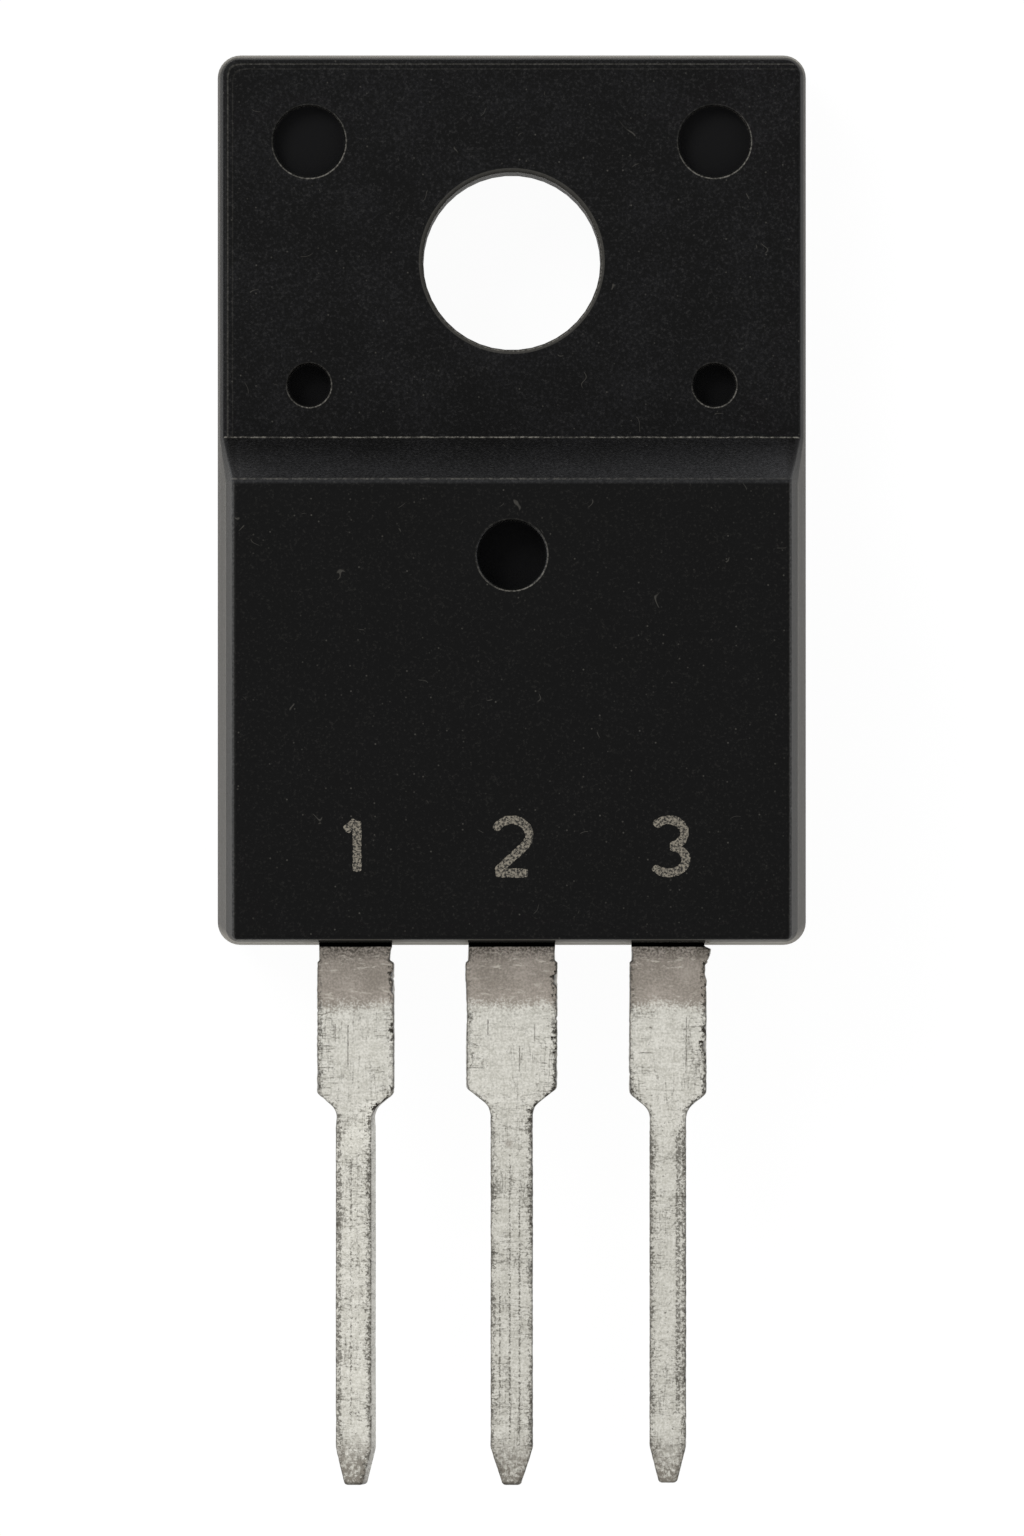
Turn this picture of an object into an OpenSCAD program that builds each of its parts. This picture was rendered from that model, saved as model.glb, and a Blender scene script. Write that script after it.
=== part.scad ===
// Power transistor in a fully insulated flat package, in millimetres.
// A black epoxy body with a thin screw tab hides a copper header, a silicon die
// and aluminium bond wires. Three flat tin-plated leads come out of its lower end.
// The back lies on z = 0 and the screw hole's axis is the z axis.
// The tab points to +y, the leads point to -y.

/* [Body] */
// Width of the moulding at its parting line
body_width = 10.36; // [9.8:0.02:10.8]
// Height of the moulding, from the lead end to the top of the tab
body_height = 15.67; // [15.2:0.01:16.4]
// Thickness over the thick part
body_thickness = 4.7; // [4.4:0.05:5.2]
// Thickness of the screw tab
tab_thickness = 2.54; // [2.4:0.02:2.8]
// Height of the tab, from its top to the foot of the step
tab_height = 6.75; // [6.4:0.05:7]
// How far the step leans from its foot to its top
step_run = 0.75; // [0.3:0.05:1.2]
// Height of the parting line above the back
parting_height = 1.25; // [0.8:0.05:1.8]
// Draft of the side and top walls in front of the parting line, in degrees
front_draft = 4.8; // [3:0.1:8]
// Draft of the wall that the leads leave, in front of the parting line, in degrees
lead_wall_draft = 2; // [1:0.1:5]
// Draft of all walls behind the parting line, in degrees
back_draft = 3; // [1:0.1:6]
// Radius of the outline's corners at the parting line
corner_radius = 0.4; // [0.25:0.01:0.7]
// Radius of the outline's corners at the height of the thick part's front face
front_corner_radius = 0.1; // [0.1:0.01:0.2]
// Rounding along the rims of the front and back faces
edge_radius = 0.08; // [0.02:0.01:0.09]
// Rounding along the upper edge of the step
step_edge_radius = 0.1; // [0.04:0.01:0.2]

/* [Screw hole] */
// Diameter of the screw hole
hole_diameter = 3.12; // [3:0.02:3.4]
// From the top of the tab to the hole's axis
hole_from_top = 3.65; // [3.4:0.05:3.9]
// Rounding at the front mouth of the hole
hole_rim_radius = 0.07; // [0.03:0.01:0.12]

/* [Pin marks] */
// Distance from the centre line to the marks beside it
mark_offset = 3.56; // [3.2:0.02:3.8]
// Diameter of the two marks near the top of the tab
top_mark_diameter = 1.26; // [0.8:0.02:1.5]
// Depth of the two marks near the top of the tab
top_mark_depth = 0.3; // [0.1:0.05:0.5]
// From the top of the tab to the centres of its upper marks
top_mark_from_top = 1.55; // [1.3:0.05:1.8]
// Diameter of the two small marks above the step
small_mark_diameter = 0.75; // [0.4:0.05:1]
// Depth of the two small marks above the step
small_mark_depth = 0.5; // [0.1:0.05:0.55]
// From the foot of the step up to the centres of the small marks
small_mark_above_step = 0.92; // [0.7:0.02:1.2]
// Rounding at the mouths of all the marks
mark_rim_radius = 0.03; // [0.01:0.01:0.05]
// Diameter of the mark on the thick part
front_mark_diameter = 1.22; // [0.8:0.02:1.6]
// Depth of the mark on the thick part
front_mark_depth = 0.8; // [0.2:0.05:0.9]
// From the top of the step down to the centre of the front mark
front_mark_below_step = 1.33; // [1.1:0.01:1.6]

/* [Leads] */
// Distance between the centres of neighbouring leads
lead_pitch = 2.74; // [2.5:0.02:2.8]
// Length of the leads outside the body
lead_length = 9.46; // [8:0.02:14]
// Thickness of the lead strip
lead_thickness = 0.5; // [0.4:0.02:0.6]
// Height of the leads' lower side above the back
lead_height = 2.51; // [2.4:0.01:2.7]
// Width of the outer leads' wide part
outer_wide = 1.36; // [1.2:0.02:1.5]
// Width of the outer leads' narrow part
outer_narrow = 0.64; // [0.5:0.02:0.9]
// Width of the middle lead's wide part
middle_wide = 1.6; // [1.3:0.02:1.7]
// Width of the middle lead's narrow part
middle_narrow = 0.74; // [0.6:0.02:1]
// Length of the outer leads' wide part below the body
outer_wide_length = 2.6; // [1.5:0.05:3]
// Length of the middle lead's wide part below the body
middle_wide_length = 2.5; // [1.5:0.05:3]
// Length below the body over which a lead keeps its root width
root_length = 0.26; // [0.1:0.02:0.5]
// How much narrower a lead is at its root than in its wide part
root_relief = 0.08; // [0.04:0.01:0.2]
// Slope of the neck below the wide part, in degrees
neck_slope = 38; // [20:1:55]
// Radius where the neck runs into the narrow part
neck_fillet = 0.32; // [0.1:0.02:0.34]
// Width of the cropped tip
tip_width = 0.32; // [0.2:0.02:0.4]
// Length of the tapered tip
tip_length = 0.65; // [0.3:0.05:1.2]

/* [Lead exits] */
// Depth of the recess in the wall above each lead
exit_depth = 0.1; // [0.05:0.01:0.2]
// Height of that recess
exit_height = 1.25; // [0.4:0.05:1.3]
// Thickness of the epoxy film between the lead and the recess
exit_film = 0.05; // [0.03:0.01:0.1]

/* [Bond posts] */
// Width of the post at the inner end of each outer lead
post_width = 2.2; // [1.8:0.05:2.6]
// Length of the post
post_length = 1.1; // [1:0.05:1.3]
// Epoxy between the lead wall and the post
post_cover = 0.4; // [0.3:0.05:0.6]
// Radius of the post's corners
post_corner = 0.15; // [0.05:0.01:0.3]

/* [Header] */
// Thickness of the copper header
header_thickness = 1.3; // [1:0.05:1.4]
// Epoxy between the header and the back
back_cover = 0.6; // [0.4:0.05:0.7]
// Epoxy between the header and the side walls
side_cover = 1.08; // [0.9:0.02:1.3]
// Epoxy between the header's ears and the top of the tab
top_cover = 0.8; // [0.6:0.05:1]
// Epoxy between the screw hole and the header
hole_cover = 0.85; // [0.6:0.05:1]
// From the lead wall to the header's lower edge
header_from_lead_wall = 1.65; // [1.6:0.05:1.9]
// Radius of the header's corners
header_corner = 0.3; // [0.1:0.05:0.5]
// Radius of the two notches that lock the epoxy to the header
lock_radius = 0.4; // [0.2:0.05:0.5]
// From the header's lower edge to the lock notches
lock_from_edge = 1.1; // [0.8:0.05:1.4]
// Depth of the groove pressed across the header above the die
groove_depth = 0.22; // [0.1:0.02:0.3]
// From the die's upper edge to the groove
groove_above_die = 0.8; // [0.5:0.05:1]
// Centre-line radius of the two bends in the drain lead
bend_radius = 0.4; // [0.35:0.01:0.5]
// Angle of the two bends in the drain lead
bend_angle = 62; // [58:1:70]

/* [Die] */
// Width of the silicon die
die_width = 4.2; // [3:0.1:4.6]
// Length of the silicon die
die_length = 3.4; // [2.4:0.1:3.8]
// Thickness of the silicon die
die_thickness = 0.3; // [0.2:0.02:0.4]
// From the header's lower edge to the die
die_from_edge = 1.2; // [0.9:0.05:1.5]
// Thickness of the solder under the die
solder_thickness = 0.05; // [0.03:0.01:0.1]
// How far the solder reaches out past the die
solder_margin = 0.1; // [0.05:0.01:0.2]

/* [Bond wires] */
// Diameter of the source wires
source_wire = 0.38; // [0.25:0.01:0.4]
// Diameter of the gate wire
gate_wire = 0.13; // [0.1:0.01:0.2]
// Rise of the source wires' loops above the line between their ends
source_loop = 0.62; // [0.4:0.02:0.7]
// Rise of the gate wire's loop
gate_loop = 0.42; // [0.3:0.02:0.6]
// Length of a wire's flattened foot, in wire diameters
foot_length = 2.2; // [1.8:0.1:2.4]
// Width of a wire's flattened foot, in wire diameters
foot_width = 1.25; // [1.1:0.05:1.4]
// Thickness of a wire's flattened foot, in wire diameters
foot_thickness = 0.6; // [0.5:0.05:0.8]
// From the die's right edge to the first source wire
source_pad_inset = 0.75; // [0.6:0.05:1]
// Distance between the two source wires
source_wire_pitch = 0.9; // [0.7:0.05:1]
// From the die's lower edge to the source wires' feet
source_pad_height = 1.7; // [1:0.05:2.2]
// From the die's lower left corner to the gate wire's foot, both ways
gate_pad_inset = 0.45; // [0.35:0.05:0.7]

/* [Hidden] */
$fn = 64;
// Steps along each small arc of the moulding and the leads
corner_steps = 8;
rim_steps = 4;
step_edge_steps = 4;
neck_steps = 6;
bend_steps = 6;
// How far a cutter runs past the face that it cuts
past = 1;
// How far the middle lead's strip runs into the bent strip that carries it on
strip_overlap = 0.01;

// Levels and lines that several pieces share
top_end = hole_from_top;
lead_end = hole_from_top - body_height;
step_foot = top_end - tab_height;
step_top = step_foot - step_run;
lead_front = lead_height + lead_thickness;
header_front = back_cover + header_thickness;
header_edge = lead_end + header_from_lead_wall;
solder_front = header_front + solder_thickness;
die_front = solder_front + die_thickness;
die_bottom = header_edge + die_from_edge;
die_top = die_bottom + die_length;
post_bottom = lead_end + post_cover;
post_centre = post_bottom + post_length / 2;
header_half_width = body_width / 2 - side_cover;
hole_notch_radius = hole_diameter / 2 + hole_cover;

// Shares of a whole along an arc that is cut into equal steps
function shares(steps) = [for (i = [0:steps]) i / steps];

// How far a wall has drawn in at a height, given its draft in front of the parting line
function drawn_in(z, draft) =
    z > parting_height ? (z - parting_height) * tan(draft) : (parting_height - z) * tan(back_draft);

// Radius of the outline's corners at a height
function corner_at(z) =
    z <= parting_height ? corner_radius
    : corner_radius
      + (front_corner_radius - corner_radius) * (z - parting_height) / (body_thickness - parting_height);

// Heights and rim roundings of one wall station from back to front, as [z, rounding]
function levels(rim_height) = concat(
    [for (s = shares(rim_steps)) [edge_radius * (1 - cos(90 * s)), edge_radius * (1 - sin(90 * s))]],
    [[parting_height, 0]],
    [for (s = shares(rim_steps)) [rim_height - edge_radius * (1 - sin(90 * s)), edge_radius * (1 - cos(90 * s))]]
);

// A station on a side wall: side is 1 or -1, y is fixed and the rim is at rim_height
function side_station(side, y, rim_height) = [
    for (level = levels(rim_height))
        [side * (body_width / 2 - drawn_in(level[0], front_draft) - level[1]), y, level[0]]
];

// A station on a rounded corner, at an angle round it
function corner_station(side, end, angle, rim_height) = [
    for (level = levels(rim_height))
        let (radius = corner_at(level[0]) - level[1],
             end_draft = end > 0 ? front_draft : lead_wall_draft,
             edge_y = end > 0 ? top_end : lead_end,
             centre_x = body_width / 2 - drawn_in(level[0], front_draft) - level[1] - radius,
             centre_y = edge_y - end * (drawn_in(level[0], end_draft) + level[1] + radius))
        [side * centre_x + radius * cos(angle), centre_y + radius * sin(angle), level[0]]
];

// Where the front surface turns along a side wall, from the step's foot to the thick part, as [y, z]
function step_profile() =
    let (lean = atan2(body_thickness - tab_thickness, step_run),
         centre_y = step_top - step_edge_radius * tan(lean / 2),
         centre_z = body_thickness - step_edge_radius)
    concat(
        [[step_foot, tab_thickness]],
        [for (s = shares(step_edge_steps)) let (a = lean * (1 - s))
            [centre_y + step_edge_radius * sin(a), centre_z + step_edge_radius * cos(a)]]
    );

// The outer form of the moulding. Wall stations run anticlockwise, seen from the front,
// and flat faces join the stations of the two sides, on the front and on the back.
module body_form() {
    profile = step_profile();
    last = len(profile) - 1;
    tab_corners = concat(
        [for (s = shares(corner_steps)) corner_station(1, 1, 90 * s, tab_thickness)],
        [for (s = shares(corner_steps)) corner_station(-1, 1, 90 + 90 * s, tab_thickness)]
    );
    lead_corners = concat(
        [for (s = shares(corner_steps)) corner_station(-1, -1, 180 + 90 * s, body_thickness)],
        [for (s = shares(corner_steps)) corner_station(1, -1, 270 + 90 * s, body_thickness)]
    );
    stations = concat(
        [for (k = [last:-1:0]) side_station(1, profile[k][0], profile[k][1])],
        tab_corners,
        [for (point = profile) side_station(-1, point[0], point[1])],
        lead_corners
    );
    count = len(stations);
    rows = len(stations[0]);
    rim = rows - 1;
    left_foot = last + 1 + len(tab_corners);
    left_top = left_foot + last;
    walls = [for (i = [0:count - 1], j = [0:rim - 1]) let (n = (i + 1) % count)
        each [[i * rows + j, i * rows + j + 1, n * rows + j + 1], [i * rows + j, n * rows + j + 1, n * rows + j]]];
    tab_face = [for (i = [last:left_foot]) i * rows];
    thick_face = [for (i = [left_top:count]) (i % count) * rows];
    steps = [for (k = [0:last - 1])
        [for (i = [last - k - 1, last - k, left_foot + k, left_foot + k + 1]) i * rows]];
    backs = concat([tab_face, thick_face], steps);
    fronts = [for (face = backs) [for (i = [len(face) - 1:-1:0]) face[i] + rim]];
    polyhedron(points = [for (station = stations) each station], faces = concat(walls, backs, fronts));
}

// A round hole sunk from a front face, with its mouth rounded, as one turned cutter
module round_cut(x, y, face, diameter, depth, rim_radius) {
    radius = diameter / 2;
    translate([x, y, face])
        rotate_extrude()
            polygon(concat(
                [[0, -depth], [radius, -depth]],
                [for (s = shares(rim_steps))
                    [radius + rim_radius * (1 - cos(90 * s)), rim_radius * (sin(90 * s) - 1)]],
                [[radius + rim_radius, past], [0, past]]
            ));
}

module screw_hole() {
    round_cut(0, 0, tab_thickness, hole_diameter, tab_thickness + past, hole_rim_radius);
}

module pin_marks() {
    for (side = [-1, 1]) {
        round_cut(side * mark_offset, top_end - top_mark_from_top, tab_thickness,
                  top_mark_diameter, top_mark_depth, mark_rim_radius);
        round_cut(side * mark_offset, step_foot + small_mark_above_step, tab_thickness,
                  small_mark_diameter, small_mark_depth, mark_rim_radius);
    }
    round_cut(0, step_top - front_mark_below_step, body_thickness,
              front_mark_diameter, front_mark_depth, mark_rim_radius);
}

// The recess in the lead wall above one lead
module lead_exit(x, width) {
    wall = lead_end + drawn_in(lead_front, lead_wall_draft);
    translate([x - width / 2, wall - past, lead_front + exit_film])
        cube([width, past + exit_depth, exit_height]);
}

// Right-hand edge of a lead from its tip up to its root, y counted down from the lead wall
function lead_edge(wide, narrow, wide_length) =
    let (turn = 90 - neck_slope,
         sideways = neck_fillet * (1 - cos(turn)),
         neck_length = ((wide - narrow) / 2 - sideways) * tan(neck_slope) + neck_fillet * sin(turn),
         neck_end = wide_length + neck_length)
    concat(
        [[tip_width / 2, -lead_length], [narrow / 2, tip_length - lead_length]],
        [for (s = shares(neck_steps))
            [narrow / 2 + neck_fillet * (1 - cos(turn * s)), neck_fillet * sin(turn * s) - neck_end]],
        [[wide / 2, -wide_length], [wide / 2, -root_length - root_relief / 2]],
        [[(wide - root_relief) / 2, -root_length]]
    );

// The outline that a right-hand edge and its mirror image enclose
function closed_outline(edge) = concat(edge, [for (i = [len(edge) - 1:-1:0]) [-edge[i][0], edge[i][1]]]);

// A rectangle with rounded corners, from its lower left corner
function rounded_outline(x, y, width, height, radius) = [
    for (corner = [[1, 0, 270], [1, 1, 0], [0, 1, 90], [0, 0, 180]], s = shares(corner_steps))
        [x + (corner[0] == 1 ? width - radius : radius) + radius * cos(corner[2] + 90 * s),
         y + (corner[1] == 1 ? height - radius : radius) + radius * sin(corner[2] + 90 * s)]
];

// The flat strip of one lead outside the body and a short way into it
module lead_strip(wide, narrow, wide_length, inside) {
    root = (wide - root_relief) / 2;
    translate([0, lead_end, lead_height])
        linear_extrude(lead_thickness)
            polygon(closed_outline(concat(lead_edge(wide, narrow, wide_length), [[root, inside]])));
}

// An outer lead with the post that its wire is bonded to
module outer_lead() {
    lead_strip(outer_wide, outer_narrow, outer_wide_length, post_cover + post_length / 2);
    translate([0, 0, lead_height])
        linear_extrude(lead_thickness)
            polygon(rounded_outline(-post_width / 2, post_bottom, post_width, post_length, post_corner));
}

// Centre line of the drain lead's double bend, from the lead plane down to the header, as [y, z, heading]
function double_bend() =
    let (drop = lead_height + lead_thickness - header_front,
         straight = (drop - 2 * bend_radius * (1 - cos(bend_angle))) / sin(bend_angle),
         run = 2 * bend_radius * sin(bend_angle) + straight * cos(bend_angle),
         start_y = header_edge - run,
         start_z = lead_height + lead_thickness / 2)
    concat(
        [for (s = shares(bend_steps)) let (a = bend_angle * s)
            [start_y + bend_radius * sin(a), start_z - bend_radius * (1 - cos(a)), -a]],
        [for (s = shares(bend_steps)) let (a = bend_angle * (1 - s))
            [header_edge - bend_radius * sin(a), start_z - drop + bend_radius * (1 - cos(a)), -a]]
    );

// The bent strip between the header and the middle lead, drawn on edge
module bent_strip() {
    bend = double_bend();
    half = lead_thickness / 2;
    front_side = [for (p = bend) [p[0] - half * sin(p[2]), p[1] + half * cos(p[2])]];
    back_side = [for (p = bend) [p[0] + half * sin(p[2]), p[1] - half * cos(p[2])]];
    width = middle_wide - root_relief;
    translate([-width / 2, 0, 0])
        rotate([90, 0, 90])
            linear_extrude(width)
                polygon(concat(
                    [[lead_end, lead_height], [lead_end, lead_front]],
                    front_side,
                    [[header_edge + bend_radius, header_front]],
                    [[header_edge + bend_radius, header_front - lead_thickness]],
                    [for (i = [len(back_side) - 1:-1:0]) back_side[i]]
                ));
}

// The thick plate under the die, with an ear on each side of the screw hole
module header_plate() {
    plate_top = top_end - top_cover;
    groove_y = die_top + groove_above_die;
    difference() {
        translate([0, 0, back_cover])
            linear_extrude(header_thickness)
                difference() {
                    polygon(rounded_outline(-header_half_width, header_edge, 2 * header_half_width,
                                            plate_top - header_edge, header_corner));
                    circle(r = hole_notch_radius);
                    translate([-hole_notch_radius, 0])
                        square([2 * hole_notch_radius, top_end]);
                    for (side = [-1, 1])
                        translate([side * header_half_width, header_edge + lock_from_edge])
                            circle(r = lock_radius);
                }
        translate([0, groove_y, header_front])
            rotate([45, 0, 0])
                cube([body_width, groove_depth * sqrt(2), groove_depth * sqrt(2)], center = true);
    }
}

module header_shape() {
    header_plate();
    bent_strip();
    lead_strip(middle_wide, middle_narrow, middle_wide_length, strip_overlap);
}

module gate_lead_shape() {
    translate([-lead_pitch, 0, 0])
        outer_lead();
}

module source_lead_shape() {
    translate([lead_pitch, 0, 0])
        outer_lead();
}

module die_shape() {
    translate([-die_width / 2, die_bottom, solder_front])
        cube([die_width, die_length, die_thickness]);
}

module solder_shape() {
    translate([-die_width / 2 - solder_margin, die_bottom - solder_margin, header_front])
        cube([die_width + 2 * solder_margin, die_length + 2 * solder_margin, solder_thickness]);
}

// One flattened foot: a slug with round ends that lies along x
module wire_foot(diameter) {
    reach = (foot_length - foot_width) * diameter / 2;
    height = foot_thickness * diameter;
    translate([-reach, -foot_width * diameter / 2, 0])
        cube([2 * reach, foot_width * diameter, height]);
    for (side = [-1, 1])
        translate([side * reach, 0, 0])
            cylinder(d = foot_width * diameter, h = height);
}

// A bond wire from one pad to another: a circular loop between two flattened feet
module bond_wire(from, to, diameter, loop) {
    run = norm([to[0] - from[0], to[1] - from[1]]);
    rise = to[2] - from[2];
    chord = norm([run, rise]);
    tilt = atan2(rise, run);
    radius = chord * chord / (8 * loop) + loop / 2;
    half_angle = asin(chord / (2 * radius));
    drop = radius - loop;
    translate(from)
        rotate([0, 0, atan2(to[1] - from[1], to[0] - from[0])]) {
            difference() {
                translate([run / 2 + drop * sin(tilt), 0, rise / 2 - drop * cos(tilt)])
                    rotate([90, 0, 0])
                        rotate([0, 0, 90 + tilt - half_angle])
                            rotate_extrude(angle = 2 * half_angle)
                                translate([radius, 0])
                                    circle(d = diameter);
                translate([-diameter, -diameter, -past])
                    cube([run / 2 + diameter, 2 * diameter, past]);
                translate([run / 2, -diameter, rise - past])
                    cube([run / 2 + diameter, 2 * diameter, past]);
            }
            wire_foot(diameter);
            translate([run, 0, rise])
                wire_foot(diameter);
        }
}

// Source wires are counted from the die's right edge
module source_wire_shape(index) {
    foot_x = die_width / 2 - source_pad_inset - index * source_wire_pitch;
    post_x = lead_pitch + (0.5 - index) * source_wire_pitch;
    bond_wire([foot_x, die_bottom + source_pad_height, die_front],
              [post_x, post_centre, lead_front], source_wire, source_loop);
}

module gate_wire_shape() {
    bond_wire([gate_pad_inset - die_width / 2, die_bottom + gate_pad_inset, die_front],
              [-lead_pitch, post_centre, lead_front], gate_wire, gate_loop);
}

// Everything that the epoxy closes round
module buried_parts() {
    header_shape();
    gate_lead_shape();
    source_lead_shape();
    solder_shape();
    die_shape();
    gate_wire_shape();
    source_wire_shape(0);
    source_wire_shape(1);
}

module moulded_body() {
    color("#1b1c1d")
        difference() {
            body_form();
            screw_hole();
            pin_marks();
            lead_exit(-lead_pitch, outer_wide - root_relief);
            lead_exit(0, middle_wide - root_relief);
            lead_exit(lead_pitch, outer_wide - root_relief);
            buried_parts();
        }
}

module header_and_drain_lead() {
    color("#c9c9c3")
        header_shape();
}

module gate_lead() {
    color("#c9c9c3")
        gate_lead_shape();
}

module source_lead() {
    color("#c9c9c3")
        source_lead_shape();
}

module silicon_die() {
    color("#5b6068")
        die_shape();
}

module die_attach_solder() {
    color("#8d8f92")
        solder_shape();
}

module gate_bond_wire() {
    color("#d8dadc")
        gate_wire_shape();
}

module source_bond_wire_1() {
    color("#d8dadc")
        source_wire_shape(0);
}

module source_bond_wire_2() {
    color("#d8dadc")
        source_wire_shape(1);
}

moulded_body();
header_and_drain_lead();
gate_lead();
source_lead();
silicon_die();
die_attach_solder();
gate_bond_wire();
source_bond_wire_1();
source_bond_wire_2();
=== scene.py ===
"""Looks of a power transistor in a flat insulated package.

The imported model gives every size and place. This script dresses it: a moulded epoxy body, three
stamped and tinned leads with sheared edges, the buried header, die, solder and bond wires, and
generic pin numbers marked by laser. Sizes in the classes are millimetres, and meshes are metres.
"""

import logging
import math
from dataclasses import dataclass, field
from enum import Enum

import bmesh
import bpy
import numpy as np
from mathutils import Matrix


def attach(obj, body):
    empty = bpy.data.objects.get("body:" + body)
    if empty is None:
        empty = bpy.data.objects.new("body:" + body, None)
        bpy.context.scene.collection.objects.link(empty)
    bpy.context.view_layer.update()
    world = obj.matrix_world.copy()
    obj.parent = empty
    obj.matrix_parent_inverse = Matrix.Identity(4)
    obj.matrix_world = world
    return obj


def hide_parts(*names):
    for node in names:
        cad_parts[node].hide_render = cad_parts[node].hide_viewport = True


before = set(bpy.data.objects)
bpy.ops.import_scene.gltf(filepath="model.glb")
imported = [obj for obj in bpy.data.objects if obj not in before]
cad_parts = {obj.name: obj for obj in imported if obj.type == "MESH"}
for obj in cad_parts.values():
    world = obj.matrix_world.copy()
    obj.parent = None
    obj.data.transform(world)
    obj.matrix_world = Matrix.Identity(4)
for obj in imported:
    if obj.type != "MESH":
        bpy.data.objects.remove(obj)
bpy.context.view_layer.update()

log = logging.getLogger("power_transistor")
MM = 0.001

# Places on the part that several classes share, in millimetres
TAB_FACE = 2.54
FRONT_FACE = 4.7
STEP_FOOT = -3.1
STEP_TOP = -3.9
BODY_END = -12.02
LEAD_PITCH = 2.74
LEAD_END = -21.48
STRIP_LOW = 2.51
STRIP_THICKNESS = 0.5

# Node types that are used often
MIX, MATH, RANGE = "ShaderNodeMixRGB", "ShaderNodeMath", "ShaderNodeMapRange"
NOISE, VECTOR, SPLIT = "ShaderNodeTexNoise", "ShaderNodeVectorMath", "ShaderNodeSeparateXYZ"

Array = np.ndarray
Faces = list[list[int]]
Points = tuple[tuple[float, float], ...]
Triple = tuple[float, float, float]
# What a socket gets: another node or socket, a number, a vector, or a hex colour
Signal = bpy.types.Node | bpy.types.NodeSocket | float | str | tuple


class Slot(Enum):
    """The record's material slots."""

    EPOXY = "black_epoxy"
    TIN = "tinned_copper"
    SILICON = "silicon"
    SOLDER = "solder"
    WIRE = "bond_wire"


# ---- Nodes and meshes


def linear(code: str) -> tuple[float, float, float, float]:
    """Turns an sRGB hex colour into linear light.

    Args:
        code: The colour as "#rrggbb".

    Returns:
        Red, green and blue from 0 to 1, and an alpha of 1.
    """
    parts = [int(code[i:i + 2], 16) / 255 for i in (1, 3, 5)]
    light = [c / 12.92 if c <= 0.04045 else ((c + 0.055) / 1.055) ** 2.4 for c in parts]
    return light[0], light[1], light[2], 1.0


class Nodes:
    """A node tree in the making."""

    def __init__(self, owner: bpy.types.Material | bpy.types.World) -> None:
        """Empties the owner's node tree.

        Args:
            owner: The material or world that gets the nodes.
        """
        owner.use_nodes = True
        self.tree = owner.node_tree
        self.tree.nodes.clear()

    def add(self, kind: str, *values: Signal, **named: Signal) -> bpy.types.Node:
        """Adds a node with its settings and links.

        Args:
            kind: The node's type name.
            values: What its first sockets get. A node or socket is linked, and others are set.
            named: The same by socket name, which has a capital. Other names are settings.

        Returns:
            The new node.
        """
        node = self.tree.nodes.new(kind)
        sockets = dict(enumerate(values))
        for name, value in named.items():
            if name[0].isupper():
                sockets[name] = value
            else:
                setattr(node, name, value)
        for key, value in sockets.items():
            if isinstance(value, bpy.types.Node):
                value = value.outputs[0]
            if isinstance(value, bpy.types.NodeSocket):
                self.tree.links.new(value, node.inputs[key])
            else:
                node.inputs[key].default_value = linear(value) if isinstance(value, str) else value
        return node

    def join(self, operation: str, *signals: Signal) -> Signal:
        """Joins signals one after another by the same arithmetic.

        Args:
            operation: ADD, MULTIPLY, MINIMUM or MAXIMUM.
            signals: Nodes, sockets and numbers.

        Returns:
            A node whose output is the result.
        """
        result = signals[0]
        for signal in signals[1:]:
            result = self.add(MATH, result, signal, operation=operation)
        return result

    def overlap(self, *masks: Signal) -> Signal:
        """Marks where masks overlap: their product, in which a number weakens the whole."""
        return self.join("MULTIPLY", *masks)

    def band(self, value: Signal, centre: Signal, half: float, soft: float) -> bpy.types.Node:
        """Marks where a value lies near a centre: 1 inside half, falling to 0 over soft.

        Args:
            value: The node or socket that is measured.
            centre: The middle of the band, a number or a node.
            half: Half of the band's width.
            soft: The width of its soft edge.

        Returns:
            The mask's node.
        """
        away = self.add(MATH, value, centre, operation="SUBTRACT")
        away = self.add(MATH, away, operation="ABSOLUTE")
        return self.add(RANGE, away, half, half + soft, 1.0, 0.0,
                        interpolation_type="SMOOTHSTEP")

    def seen_rays(self) -> Signal:
        """Tells the rays that see the floor and the tent from those that only light the part.

        Returns:
            A node that is 1 for camera, glossy and transmission rays.
        """
        path = self.add("ShaderNodeLightPath").outputs
        ways = ("Camera", "Glossy", "Transmission")
        return self.join("MAXIMUM", *(path[f"Is {way} Ray"] for way in ways))


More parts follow.
